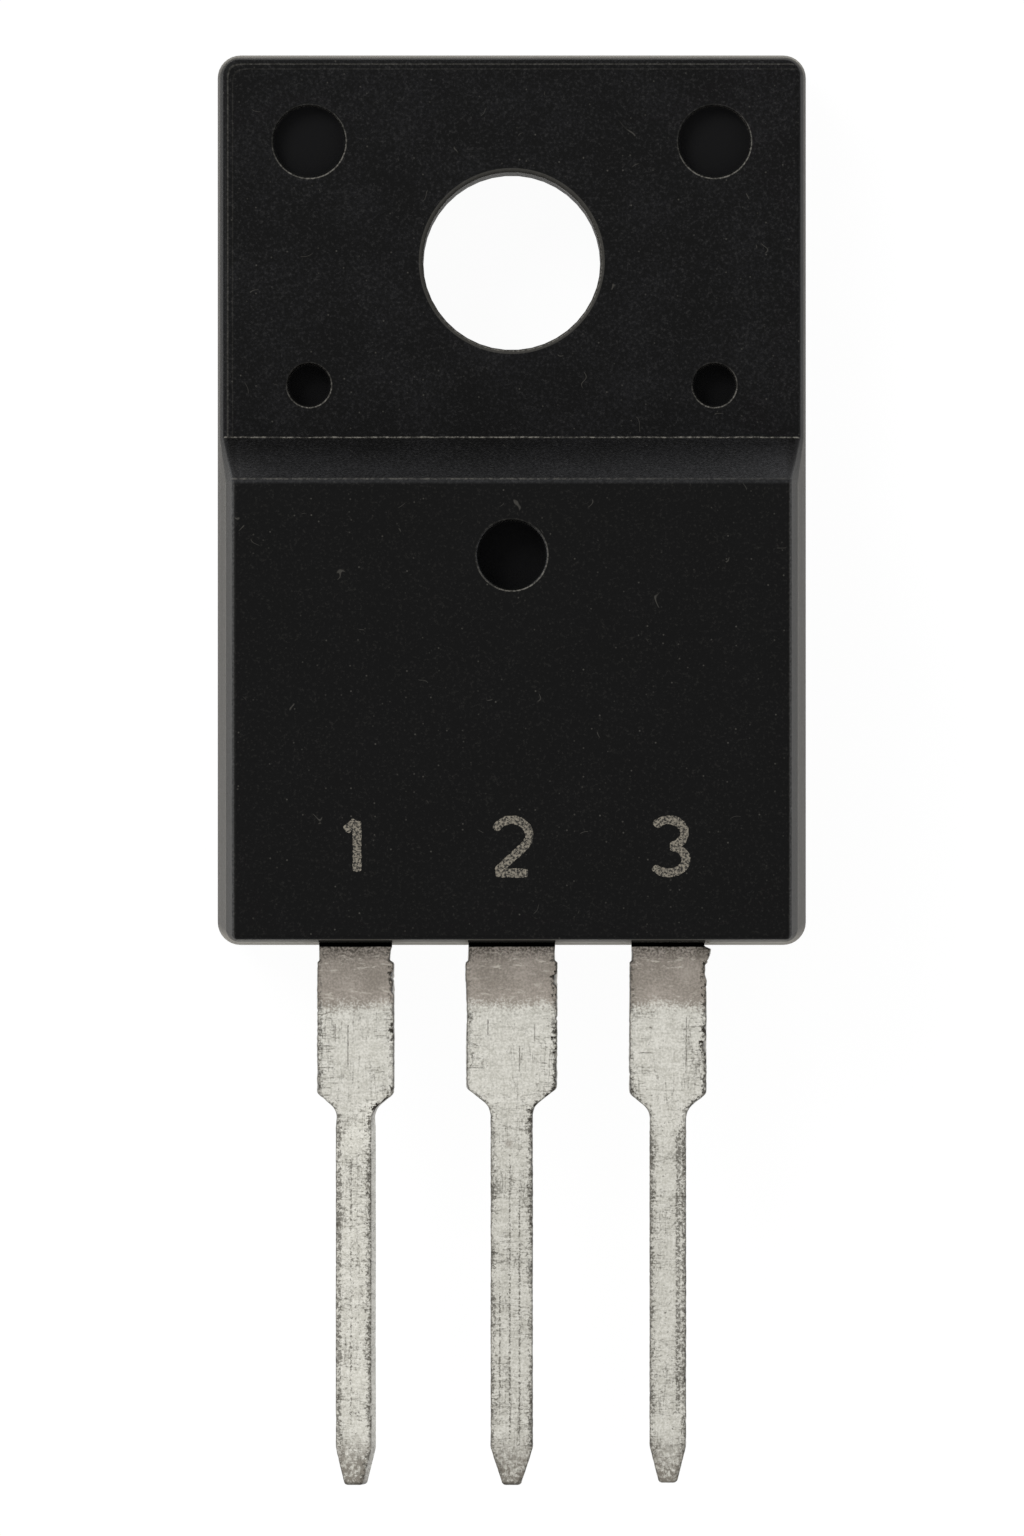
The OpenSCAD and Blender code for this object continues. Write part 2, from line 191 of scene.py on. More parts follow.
class Canvas(Nodes):
    """A finish in the making: its shader, the point's own place in millimetres, and patterns."""

    def __init__(self, name: str, grain: dict[str, float], cloud: dict[str, float] | None = None,
                 stretch: Triple = (1.0, 1.0, 1.0)) -> None:
        """Starts a material.

        Args:
            name: What the real material is.
            grain: The settings of its fine pattern.
            cloud: The settings of its slow pattern, if it has one.
            stretch: How much finer the fine pattern is along each axis.
        """
        self.material = bpy.data.materials.new(name)
        super().__init__(self.material)
        self.shader = self.add("ShaderNodeBsdfPrincipled")
        self.add("ShaderNodeOutputMaterial", Surface=self.shader)
        here = self.add("ShaderNodeTexCoord").outputs["Object"]
        self.place = self.add(VECTOR, here, operation="SCALE", Scale=1 / MM)
        self.x, self.y, self.z = self.add(SPLIT, self.place).outputs
        drawn = self.add(VECTOR, self.place, stretch, operation="MULTIPLY")
        self.grain = self.add(NOISE, Vector=drawn, **grain)
        self.cloud = self.add(NOISE, Vector=self.place, **cloud) if cloud else None

    def finish(self, colour: Signal, height: Signal, depth: float, strength: float = 1.0,
               rough: Signal | None = None) -> bpy.types.Material:
        """Connects the shader.

        Args:
            colour: The colour.
            height: The fine relief.
            depth: What a height of 1 is, in metres.
            strength: The share of the relief that shows.
            rough: The roughness, where it varies.

        Returns:
            The finished material.
        """
        bump = self.add("ShaderNodeBump", Height=height, Strength=strength, Distance=depth)
        for name, signal in (("Base Color", colour), ("Normal", bump), ("Roughness", rough)):
            if signal is not None:
                self.tree.links.new(signal.outputs[0], self.shader.inputs[name])
        return self.material


def grid_faces(rows: int, columns: int) -> Array:
    """Joins rows of points into quads, closed round each row.

    Args:
        rows: How many rows there are.
        columns: How many points a row has.

    Returns:
        The quads' point numbers, as an array of shape (faces, 4).
    """
    row, column = np.meshgrid(np.arange(rows - 1), np.arange(columns), indexing="ij")
    after = (column + 1) % columns
    quads = [row * columns + column, row * columns + after,
             (row + 1) * columns + after, (row + 1) * columns + column]
    return np.stack(quads, axis=-1).reshape(-1, 4)


def link_object(name: str, mesh: bpy.types.Mesh, smooth: bool = True) -> bpy.types.Object:
    """Puts a mesh into the scene as an object at the origin.

    Args:
        name: The object's name.
        mesh: Its mesh.
        smooth: Whether its faces are shaded smoothly.

    Returns:
        The object.
    """
    mesh.polygons.foreach_set("use_smooth", np.full(len(mesh.polygons), smooth))
    mesh.update()
    piece = bpy.data.objects.new(name, mesh)
    bpy.context.scene.collection.objects.link(piece)
    return piece


def make_object(name: str, points: Array, faces: Faces, marks: dict[str, Array] | None = None,
                smooth: bool = True) -> bpy.types.Object:
    """Makes a mesh object from arrays.

    Args:
        name: The object's name.
        points: The points in metres, of shape (points, 3).
        faces: Each face's point numbers, anticlockwise from outside.
        marks: One number per point, by attribute name.
        smooth: Whether its faces are shaded smoothly.

    Returns:
        The object.
    """
    mesh = bpy.data.meshes.new(name)
    mesh.from_pydata(points.tolist(), [], faces)
    for key, values in (marks or {}).items():
        layer = mesh.attributes.new(key, "FLOAT", "POINT")
        layer.data.foreach_set("value", np.ascontiguousarray(values, dtype=np.float32))
    return link_object(name, mesh, smooth)


def adopt(piece: bpy.types.Object, material: bpy.types.Material, slot: Slot, *nodes: str) -> None:
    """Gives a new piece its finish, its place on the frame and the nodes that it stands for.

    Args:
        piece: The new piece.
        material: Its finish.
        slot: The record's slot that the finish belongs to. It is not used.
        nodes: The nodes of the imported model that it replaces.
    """
    piece.data.materials.clear()
    piece.data.materials.append(material)
    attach(piece, "root")
    if nodes:
        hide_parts(*nodes)
    log.info("%s: %d faces", piece.name, len(piece.data.polygons))


def merged_copy(node: str) -> bmesh.types.BMesh:
    """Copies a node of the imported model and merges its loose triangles.

    Args:
        node: The node's name.

    Returns:
        The copy, which the caller frees.
    """
    copy = bmesh.new()
    copy.from_mesh(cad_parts[node].data)
    bmesh.ops.remove_doubles(copy, verts=copy.verts[:], dist=1e-7)
    return copy


def wander(along: Array, spacing: float, amplitude: float, rng: np.random.Generator) -> Array:
    """A smooth random line: random heights every spacing, joined by cosine steps.

    Args:
        along: Where the line is wanted.
        spacing: The distance between its random heights.
        amplitude: The largest height.
        rng: The source of the heights.

    Returns:
        The line's height at each place.
    """
    place = (along - along.min()) / spacing
    heights = rng.uniform(-amplitude, amplitude, int(place.max()) + 3)
    left = np.floor(place).astype(int)
    share = (1 - np.cos(np.pi * (place - left))) / 2
    return heights[left] * (1 - share) + heights[left + 1] * share


# ---- Finishes


@dataclass(frozen=True)
class MouldedEpoxy:
    """Silica-filled epoxy, moulded in a spark-eroded steel mould.

    It is nearly black and matte where it faces the eye, with a fine even grain. Its steep walls
    mirror the surroundings, so they look grey, and more grey is painted on them as reflection, with
    some dust. Witness lines and the step's upper edge are worn lighter. Highlights are painted on
    the rounded rims, the step's slope and crest and the holes' mouths, and shade is painted in the
    holes and in the recesses over the leads. The real grain, of about 0.02 mm, is too fine to show,
    so it is drawn twice as coarse.
    """

    deep: str = "#000000"
    raised: str = "#1b1b1d"
    # Light dust and filler specks, and also painted highlights on rims and edges
    dust_and_highlight: str = "#8c8981"
    # Painted highlight on the step's slope and crest and on the thick part's long rims
    slope_and_rim_highlight: str = "#6c6d70"
    # Dust on the walls, with painted reflection
    wall_dust_and_reflection: str = "#87837a"
    bloom: str = "#d8cfc0"
    # Painted shade on the floors and walls of the pin marks and the screw hole
    cavity_shade: str = "#0c0c0d"
    # Painted shade in the recesses over the leads
    recess_shade: str = "#010101"
    grain: float = 0.045
    filler_spacing: float = 0.14
    relief: float = 2.5e-6
    # Round holes: place across, place along, radius. The marks beside the middle are mirrored.
    holes: tuple[Triple, ...] = (
        (3.56, 2.10, 0.63), (3.56, -2.18, 0.375), (0.0, -5.18, 0.61), (0.0, 0.0, 1.56))
    # Recesses over the leads: middle and half of their span along and in height
    exit_along: tuple[float, float] = (-11.86, 0.1)
    exit_up: tuple[float, float] = (3.66, 0.64)
    middle_exit: float = 0.765
    outer_exit: float = 0.645

    def build(self) -> bpy.types.Material:
        """Builds the material.

        Returns:
            The material. Its patterns read the point's place on the part, in millimetres.
        """
        on = Canvas("moulded filled epoxy",
                    {"Scale": 1 / self.grain, "Detail": 2.0, "Roughness": 0.65},
                    {"Scale": 0.8, "Detail": 3.0})
        add, overlap = on.add, on.overlap
        facing = list(add(SPLIT, add("ShaderNodeNewGeometry").outputs["Normal"]).outputs)
        mottle = add(MATH, on.cloud, 0.4, on.grain, operation="MULTIPLY_ADD")
        mottle = add(RANGE, mottle, 0.62, 1.05)
        polish = add(RANGE, on.z, FRONT_FACE - 0.2, FRONT_FACE - 0.05, 1.0, 0.15)
        colour = add(MIX, overlap(mottle, polish), self.deep, self.raised)
        rim = self.rim_distance(on)
        inside = add(RANGE, rim, -0.03, -0.005, 1.0, 0.0)
        exits = self.exits(on)
        # Laid over the ground: light specks and dust, painted highlights on the slope, crest and
        # rims, painted shade in the holes and in the recesses over the leads, worn lines with
        # painted highlights, and painted highlights on the holes' mouths
        for mask, laid in ((self.specks(on), self.dust_and_highlight),
                           (self.painted_highlights(on, facing), self.slope_and_rim_highlight),
                           (inside, self.cavity_shade), (exits, self.recess_shade),
                           (self.worn_and_highlit_lines(on), self.dust_and_highlight), (self.painted_rim_highlights(on, rim), self.dust_and_highlight)):
            colour = add(MIX, mask, colour, laid)

        # Fine draw lines run round the walls, one above the other
        outer = overlap(add(RANGE, rim, 0.02, 0.05), add(RANGE, exits, 0.0, 1.0, 1.0, 0.0))
        wall = overlap(on.band(facing[2], 0.0, 0.16, 0.12), outer)
        draw = add(NOISE, noise_dimensions="1D", W=on.z, Scale=2.4, Detail=3.0, Roughness=0.7)
        draw = add(RANGE, draw, 0.35, 0.65, 0.65, 1.35)

        # Painted reflection and dust: laid thickest on the leads' wall, then on the top wall,
        # and low on each wall
        painted_reflection = on.join("ADD", add(RANGE, facing[1], -1.0, 0.0, 0.88, 0.12),
                        add(RANGE, facing[1], 0.0, 1.0, 0.0, 0.54))
        tab = add(RANGE, on.y, STEP_TOP, STEP_FOOT)
        level = add(MATH, tab, 1.45, on.z, operation="MULTIPLY_ADD")
        low = add(RANGE, level, 3.1, 3.6, 1.0, 0.25)
        colour = add(MIX, overlap(wall, draw, painted_reflection, low), colour, self.wall_dust_and_reflection)

        # The upper third of each wall turns up towards its rim, so it mirrors less
        rolled = add(RANGE, level, 3.25, FRONT_FACE, 0.0, -40.0)
        steeper = add(MATH, tab, 1.7, 1.0, operation="MULTIPLY_ADD")
        height = add(MATH, overlap(wall, draw), 0.6, on.grain, operation="MULTIPLY_ADD")
        height = add(MATH, overlap(wall, steeper), rolled, height, operation="MULTIPLY_ADD")
        rough = on.join("MAXIMUM", add(RANGE, on.grain, 0.3, 0.7, 0.48, 0.62),
                        overlap(inside, 0.75), exits)

        # A bloom of fine dust, which shows only where the surface is seen along its own plane
        sockets = on.shader.inputs
        sockets["Specular IOR Level"].default_value = 0.1
        sockets["Sheen Weight"].default_value = 0.14
        sockets["Sheen Roughness"].default_value = 0.2
        sockets["Sheen Tint"].default_value = linear(self.bloom)
        return on.finish(colour, height, self.relief, rough=rough)

    def exits(self, on: Canvas) -> Signal:
        """Marks the recess above each lead, where shade is painted black: a box as wide as the
        lead.

        Args:
            on: The finish in the making.

        Returns:
            The mask's node.
        """
        aside = on.add(MATH, on.x, operation="ABSOLUTE")
        over_lead = on.join("MAXIMUM", on.band(on.x, 0.0, self.middle_exit, 0.01),
                            on.band(aside, LEAD_PITCH, self.outer_exit, 0.01))
        return on.overlap(on.band(on.y, *self.exit_along, 0.01), over_lead,
                          on.band(on.z, *self.exit_up, 0.01))

    def specks(self, on: Canvas) -> Signal:
        """Marks light filler specks, in half of the cells of a pattern, and a few hairs of lint.

        Args:
            on: The finish in the making. The peaks of its grain are the finest specks.

        Returns:
            The mask's node.
        """
        cells = on.add("ShaderNodeTexVoronoi", Vector=on.place, Scale=1 / self.filler_spacing)
        chosen = on.add("ShaderNodeSeparateColor", cells.outputs["Color"])
        chosen = on.add(RANGE, chosen, 0.5, 1.0, 0.0, 0.22)
        speck = on.add(RANGE, cells.outputs["Distance"], 0.05, 0.14, 1.0, 0.0)
        curl = on.add(NOISE, Vector=on.place, Scale=1.9, Detail=1.0)
        rare = on.add(NOISE, Vector=on.place, Scale=2.9, Detail=0.0)
        rare = on.add(RANGE, rare, 0.77, 0.8, 0.0, 0.15)
        lint = on.overlap(on.band(curl, 0.5, 0.002, 0.006), rare)
        fine = on.add(RANGE, on.grain, 0.56, 0.78, 0.0, 0.048)
        return on.join("MAXIMUM", on.overlap(speck, chosen), fine, lint)

    def painted_highlights(self, on: Canvas, facing: list[bpy.types.NodeSocket]) -> Signal:
        """Marks painted highlights on the step's slope and crest and on the thick part's long rims.

        Args:
            on: The finish in the making. Its grain breaks the marks up.
            facing: The normal's three parts.

        Returns:
            The mask's node.
        """
        add, overlap, band = on.add, on.overlap, on.band
        slope = overlap(band(on.y, -3.475, 0.37, 0.02), band(on.x, 0.0, 4.75, 0.2),
                        add(RANGE, on.z, 2.7, 4.65, 0.025, 0.1, interpolation_type="SMOOTHSTEP"),
                        add(RANGE, on.x, 0.0, 4.6, 0.8, 1.5))
        sideways = add(MATH, facing[0], operation="ABSOLUTE")
        rims = overlap(band(facing[2], 0.5, 0.25, 0.25), add(RANGE, sideways, 0.35, 0.55),
                       add(RANGE, on.z, 3.6, 4.4, 0.0, 0.2))
        crest = overlap(band(on.y, STEP_TOP + 0.03, 0.03, 0.05),
                        band(on.z, FRONT_FACE, 0.1, 0.02), 0.09)
        both = on.join("MAXIMUM", on.join("ADD", slope, rims), crest)
        return overlap(both, add(RANGE, on.grain, 0.35, 0.65, 0.6, 1.4))

    def rim_distance(self, on: Canvas, shift: tuple[float, float] = (0.0, 0.0)) -> Signal:
        """Distance from the nearest round hole's wall, negative inside the hole.

        Args:
            on: The finish in the making.
            shift: How far the point is moved first, across and along.

        Returns:
            A node whose output is the distance in millimetres.
        """
        x = on.add(MATH, on.x, shift[0], operation="ADD")
        y = on.add(MATH, on.y, shift[1], operation="ADD")
        flat = on.add("ShaderNodeCombineXYZ", on.add(MATH, x, operation="ABSOLUTE"), y)
        walls = []
        for across, along, radius in self.holes:
            away = on.add(VECTOR, flat, (across, along, 0.0), operation="DISTANCE")
            walls.append(on.add(MATH, away.outputs["Value"], radius, operation="SUBTRACT"))
        return on.join("MINIMUM", *walls)

    def painted_rim_highlights(self, on: Canvas, rim: Signal) -> Signal:
        """Marks painted highlights on the holes' mouths: a thin line on the lower right of each,
        where the lamp's light catches it, and the screw's ring.

        Args:
            on: The finish in the making. Its grain breaks the lines up.
            rim: The distance from the nearest round hole's wall.

        Returns:
            The mask's node.
        """
        side = on.add(MATH, self.rim_distance(on, (-0.02, 0.04)), rim, operation="SUBTRACT")
        line = on.overlap(on.band(rim, 0.022, 0.004, 0.012),
                          on.add(RANGE, side, -0.03, 0.025, 1.0, 0.12),
                          on.add(RANGE, on.grain, 0.4, 0.6, 0.25, 1.0), 0.55)
        from_axis = on.add("ShaderNodeCombineXYZ", on.x, on.y)
        from_axis = on.add(VECTOR, from_axis, operation="LENGTH").outputs["Value"]
        ring = on.overlap(on.band(from_axis, self.holes[-1][2] + 0.03, 0.036, 0.012), 0.14)
        return on.join("MAXIMUM", line, ring)

    def worn_and_highlit_lines(self, on: Canvas) -> Signal:
        """Marks light lines on the tab, the step and the thick part: worn and dusty lines, and
        painted highlights along the tab's rounded rim and the step's upper edge.

        Args:
            on: The finish in the making.

        Returns:
            The mask's node.
        """
        add, band = on.add, on.band
        patch = add(NOISE, Vector=on.place, Scale=4.0, Detail=4.0)
        fuzz = add(RANGE, on.grain, 0.3, 0.7, 0.3, 1.5)
        sway = add(MATH, patch, 0.04, STEP_FOOT - 0.018, operation="MULTIPLY_ADD")
        bead = add(NOISE, Vector=on.place, Scale=13.0, Detail=3.0, Roughness=0.7)
        bead = add(RANGE, bead, 0.44, 0.6, 0.15, 1.0)
        on_tab = band(on.z, TAB_FACE, 0.02, 0.01)
        on_front = band(on.z, FRONT_FACE, 0.1, 0.02)
        above = add(MATH, on.y, STEP_FOOT, operation="GREATER_THAN")
        below = add(MATH, on.y, STEP_TOP, operation="LESS_THAN")
        # A line that follows the tab's left and top edges round their corner
        left = add(MATH, on.x, 4.988, operation="ADD")
        top = add(MATH, 3.458, on.y, operation="SUBTRACT")
        inner = add(MATH, left, top, 0.35, operation="SMOOTH_MIN")
        aside = add(MATH, on.x, operation="ABSOLUTE")
        lines = (
            # The beaded foot of the step
            (band(on.y, sway, 0.006, 0.014), on_tab, bead, 0.8),
            # Two painted highlights on the tab's rounded left and top rim
            (band(inner, 0.0, 0.006, 0.012), on_tab, above, fuzz, 0.13),
            (band(inner, 0.085, 0.004, 0.012), on_tab, above, fuzz, 0.045),
            # Worn flecks along the step's upper edge that also paint its highlight, fewer towards
            # the right
            (band(on.y, STEP_TOP + 0.05, 0.008, 0.014), on_front, bead,
             add(RANGE, on.x, -1.0, 3.0, 1.0, 0.45), 0.24),
            # A belt round the thick part's walls
            (band(on.z, 3.1, 0.02, 0.03), below, 0.3),
            # The frosted long edges of the thick part's face
            (band(aside, 4.88, 0.012, 0.045), below, fuzz, add(RANGE, on.z, 4.5, 4.6, 0.0, 0.07)))
        return on.join("MAXIMUM", *(on.overlap(*line) for line in lines))


@dataclass(frozen=True)
class TinnedCopper:
    """Matte tin over stamped copper strip.

    The tin is pale grey with a fine rolled weave, hairline creases and dark pits that gather near
    the sheared edges and in the die's drag lines. The strip next to the body is bare, oxidised
    copper alloy, and the sheared walls are dark and torn. The tin's crystals, of a few
    thousandths of a millimetre, are too fine to show, so its grain is drawn at about 0.04 mm.
    The attributes "edge", "shear" and "across" say how far a point lies from the strip's upper
    edges, in millimetres, how torn its wall is, and where it lies across the strip, from -1 at
    the left to 1 at the right.
    """

    tin: str = "#d5d3cb"
    shade: str = "#b4b2a9"
    pit: str = "#4c4841"
    bare: str = "#a79f96"
    bare_shade: str = "#8c857c"
    bright: str = "#cbc5ba"
    # Black on each root: a film of resin, and painted contact shade next to the body
    resin_and_contact_shade: str = "#010101"
    torn: str = "#2b2823"
    flaked: str = "#8f897e"
    burnished: str = "#aba79e"
    smeared: str = "#79746c"
    relief: float = 3e-6
    black_root_end: float = -12.037
    bare_end: float = -13.06
    tip_start: float = -20.75
    stain: Triple = (-0.05, -15.49, 3.01)
    # Rolled weave: how often it repeats along each axis, and its share of the tone
    weaves: tuple[tuple[Triple, float], ...] = (
        ((2.5, 14.0, 1.0), 0.45), ((17.0, 2.5, 1.0), 0.3), ((4.0, 5.0, 1.0), 0.45))
    # Hairline scratches: place across, place along, half length across, half length along
    scratches: tuple[tuple[float, float, float, float], ...] = (
        (-2.875, -13.78, 0.003, 0.36), (-3.1, -13.55, 0.003, 0.15),
        (-0.42, -13.45, 0.003, 0.13), (0.134, -14.0, 0.003, 0.22),
        (0.4, -13.55, 0.003, 0.14), (3.06, -13.7, 0.003, 0.42),
        (-3.3, -13.78, 0.11, 0.003), (-3.27, -14.16, 0.13, 0.003),
        (-0.66, -14.16, 0.15, 0.004), (-2.3, -13.6, 0.1, 0.003), (2.35, -13.9, 0.12, 0.003))
    # Drag lines of the stamping die: place across, half width, upper end, lower end, pits' share
    drag_lines: tuple[tuple[float, float, float, float, float], ...] = (
        (-3.02, 0.02, -14.6, -21.4, 0.3), (-2.82, 0.01, -14.6, -21.4, 0.32),
        (-2.47, 0.015, -15.0, -21.2, 0.45), (-0.035, 0.006, -15.3, -21.2, 0.75),
        (0.135, 0.006, -15.6, -21.4, 0.6), (-0.21, 0.006, -17.4, -20.9, 0.5),
        (2.915, 0.03, -14.8, -20.6, 0.8), (3.02, 0.03, -14.8, -21.2, 0.2))

    def build(self) -> bpy.types.Material:
        """Builds the material.

        Returns:
            The material. Its patterns read the point's place on the part, in millimetres.
        """
        on = Canvas("matte tin on stamped copper",
                    {"Scale": 26.0, "Detail": 2.0, "Roughness": 0.6},
                    {"Scale": 1.7, "Detail": 4.0})
        add = on.add
        edge, shear = (add("ShaderNodeAttribute", attribute_name=name).outputs["Fac"]
                       for name in ("edge", "shear"))
        tone = on.grain
        for stretch, share in self.weaves:
            drawn = add(VECTOR, on.place, stretch, operation="MULTIPLY")
            weave = add(NOISE, Vector=drawn, Scale=1.0, Detail=3.0)
            tone = add(MATH, weave, share, tone, operation="MULTIPLY_ADD")
        # The narrow parts were handled more, so they are a little darker
        handled = add(RANGE, on.y, -14.8, -15.8, 0.0, 0.18)
        tone = on.join("ADD", add(RANGE, tone, 0.9, 1.3), handled)
        colour = add(MIX, tone, self.tin, self.shade)
        colour = self.add_creases(on, colour, edge)
        colour = self.add_scratches(on, colour)
        colour = self.add_pits(on, colour, edge)
        colour = self.add_tip(on, colour)
        colour = self.add_bare_root(on, colour)

        upright = add(VECTOR, on.place, (1.0, 1.0, 0.25), operation="MULTIPLY")
        flake = add(NOISE, Vector=upright, Scale=15.0, Detail=3.0, Roughness=0.7)
        colour = self.add_edges(on, colour, edge, shear, flake)

        # A thin film of resin that crept out of the mould onto each root, painted black, which also
        # paints the contact shade next to the body
        creep = add(MATH, on.cloud, 0.02, on.y, operation="MULTIPLY_ADD")
        film = add(RANGE, creep, self.black_root_end, self.black_root_end + 0.012)
        colour = add(MIX, film, colour, self.resin_and_contact_shade)
        height = add(MATH, shear, flake, on.grain, operation="MULTIPLY_ADD")
        on.shader.inputs["Metallic"].default_value = 1.0
        return on.finish(colour, height, self.relief, 0.8, add(RANGE, tone, 0.0, 1.0, 0.38, 0.5))

    def add_creases(self, on: Canvas, colour: Signal, edge: Signal) -> Signal:
        """Draws hairline creases: long ones along the strip, short ones across it from the edges.

        Args:
            on: The finish in the making. Its cloud picks where they lie.
            colour: The colour below.
            edge: The distance from the strip's edges.

        Returns:
            The colour's node.
        """
        near = on.add(RANGE, edge, 0.0, 0.5, 1.0, 0.2)
        broken = on.add(RANGE, on.grain, 0.4, 0.6, 0.3, 1.0)
        along, sideways = ((6.0, 0.5, 1.0), 0.44, 0.6), ((1.1, 9.0, 1.0), 0.38, near)
        for stretch, limit, amount in (along, sideways):
            drawn = on.add(VECTOR, on.place, stretch, operation="MULTIPLY")
            crease = on.add(NOISE, Vector=drawn, Scale=1.0, Detail=3.0, Roughness=0.6)
            some = on.add(RANGE, on.cloud, limit, limit + 0.12, 0.0, 0.85)
            mask = on.overlap(on.band(crease, 0.5, 0.006, 0.022), some, broken, amount)
            colour = on.add(MIX, mask, colour, self.pit)
        return colour

    def add_scratches(self, on: Canvas, colour: Signal) -> Signal:
        """Draws the hairline scratches of the wide parts, each at its own place and broken up.

        Args:
            on: The finish in the making. Its grain makes the lines stray and breaks them up.
            colour: The colour below.

        Returns:
            The colour's node.
        """
        stray, soft = 0.03, 0.014
        x, y = (on.add(MATH, on.grain, stray, way, operation="MULTIPLY_ADD")
                for way in (on.x, on.y))
        lines = (on.overlap(on.band(x, across + stray / 2, half_across, soft),
                            on.band(y, along + stray / 2, half_along, soft))
                 for across, along, half_across, half_along in self.scratches)
        mask = on.overlap(on.join("MAXIMUM", *lines), on.add(RANGE, on.grain, 0.35, 0.6, 0.9, 0.3))
        return on.add(MIX, mask, colour, self.pit)

    def add_pits(self, on: Canvas, colour: Signal, edge: Signal) -> Signal:
        """Draws dark pits. A fine pattern is cut at a level that falls where pits are crowded.

        They crowd along the strip's edges, in the drag lines, and a little all over the narrow
        part. One stain lies on the drain lead.

        Args:
            on: The finish in the making. Its cloud varies the crowding.
            colour: The colour below.
            edge: The distance from the strip's edges.

        Returns:
            The colour's node.
        """
        add, overlap, band = on.add, on.overlap, on.band
        patch = add(RANGE, on.cloud, 0.36, 0.62, 0.5, 1.0)
        narrow = add(RANGE, on.y, -14.4, -15.0)
        most_on_gate = add(RANGE, on.x, -2.0, -1.0, 1.0, 0.72)
        crowds = [overlap(add(RANGE, edge, 0.0, 0.12, 0.62, 0.0), patch),
                  overlap(narrow, patch, most_on_gate, 0.25)]
        fade = 1.2
        for across, half, upper, lower, share in self.drag_lines:
            middle, reach = (upper + lower) / 2, (upper - lower) / 2
            crowds.append(overlap(band(on.x, across, half, 0.02),
                                  band(on.y, middle, reach - fade, fade), share))
        ends = add(RANGE, on.y, self.tip_start + 0.4, self.tip_start, 1.0, 0.8)
        crowd = overlap(on.join("MINIMUM", on.join("ADD", *crowds), 0.66), ends)
        worm = add(NOISE, Vector=on.place, Scale=21.0, Detail=3.0, Roughness=0.65, Distortion=0.5)
        level = add(MATH, crowd, 0.3, worm, operation="MULTIPLY_ADD")
        pits = add(RANGE, level, 0.63, 0.74, 0.0, 0.76)
        on_top = add(RANGE, edge, -0.03, -0.01)
        colour = add(MIX, overlap(pits, on_top), colour, self.pit)
        away = add(VECTOR, on.place, self.stain, operation="DISTANCE").outputs["Value"]
        away = add(MATH, worm, 0.12, away, operation="MULTIPLY_ADD")
        return add(MIX, add(RANGE, away, 0.1, 0.15, 0.55, 0.0), colour, self.bare_shade)

    def add_tip(self, on: Canvas, colour: Signal) -> Signal:
        """Smears the cropped tip, and darkens its end.

        Args:
            on: The finish in the making.
            colour: The colour below.

        Returns:
            The colour's node.
        """
        smear = on.add(NOISE, Vector=on.place, Scale=12.0, Detail=4.0, Roughness=0.7,
                       Distortion=0.4)
        smear = on.add(RANGE, smear, 0.4, 0.6, 0.1, 1.5)
        tip = on.add(RANGE, on.y, self.tip_start + 0.2, LEAD_END + 0.18, 0.0, 1.0)
        colour = on.add(MIX, on.overlap(tip, smear), colour, self.smeared)
        end = on.add(RANGE, on.y, LEAD_END + 0.08, LEAD_END, 0.0, 0.8)
        return on.add(MIX, end, colour, self.torn)

    def add_bare_root(self, on: Canvas, colour: Signal) -> Signal:
        """Draws the bare strip next to the body, where the tin dissolves into it in specks.

        Args:
            on: The finish in the making.
            colour: The colour below.

        Returns:
            The colour's node.
        """
        add, overlap = on.add, on.overlap
        film = add(RANGE, on.join("ADD", on.grain, on.cloud), 0.8, 1.2)
        oxide = add(MIX, film, self.bare, self.bare_shade)
        slanted = add("ShaderNodeMapping", Vector=on.place, Rotation=(0, 0, 0.35), Scale=(4, 13, 1))
        scratch = add(NOISE, Vector=slanted, Scale=1.0, Detail=3.0, Roughness=0.7)
        scratch = add(RANGE, scratch, 0.56, 0.66)
        where = on.join("MAXIMUM", add(RANGE, on.y, self.bare_end, self.bare_end + 0.5, 0.9, 0.2),
                        on.band(on.y, BODY_END - 0.28, 0.1, 0.15))
        oxide = add(MIX, overlap(scratch, where, 0.85), oxide, self.bright)
        root = add(RANGE, on.y, BODY_END - 0.28, BODY_END - 0.03, 0.0, 1.0)
        specks = add(RANGE, on.grain, 0.42, 0.6, 0.1, 0.75)
        oxide = add(MIX, overlap(root, specks), oxide, self.torn)
        ragged = add(MATH, on.grain, 0.5, on.y, operation="MULTIPLY_ADD")
        ragged = add(MATH, on.cloud, 0.3, ragged, operation="MULTIPLY_ADD")
        bare = add(RANGE, ragged, self.bare_end + 0.26, self.bare_end + 0.52,
                   interpolation_type="SMOOTHSTEP")
        return add(MIX, bare, colour, oxide)

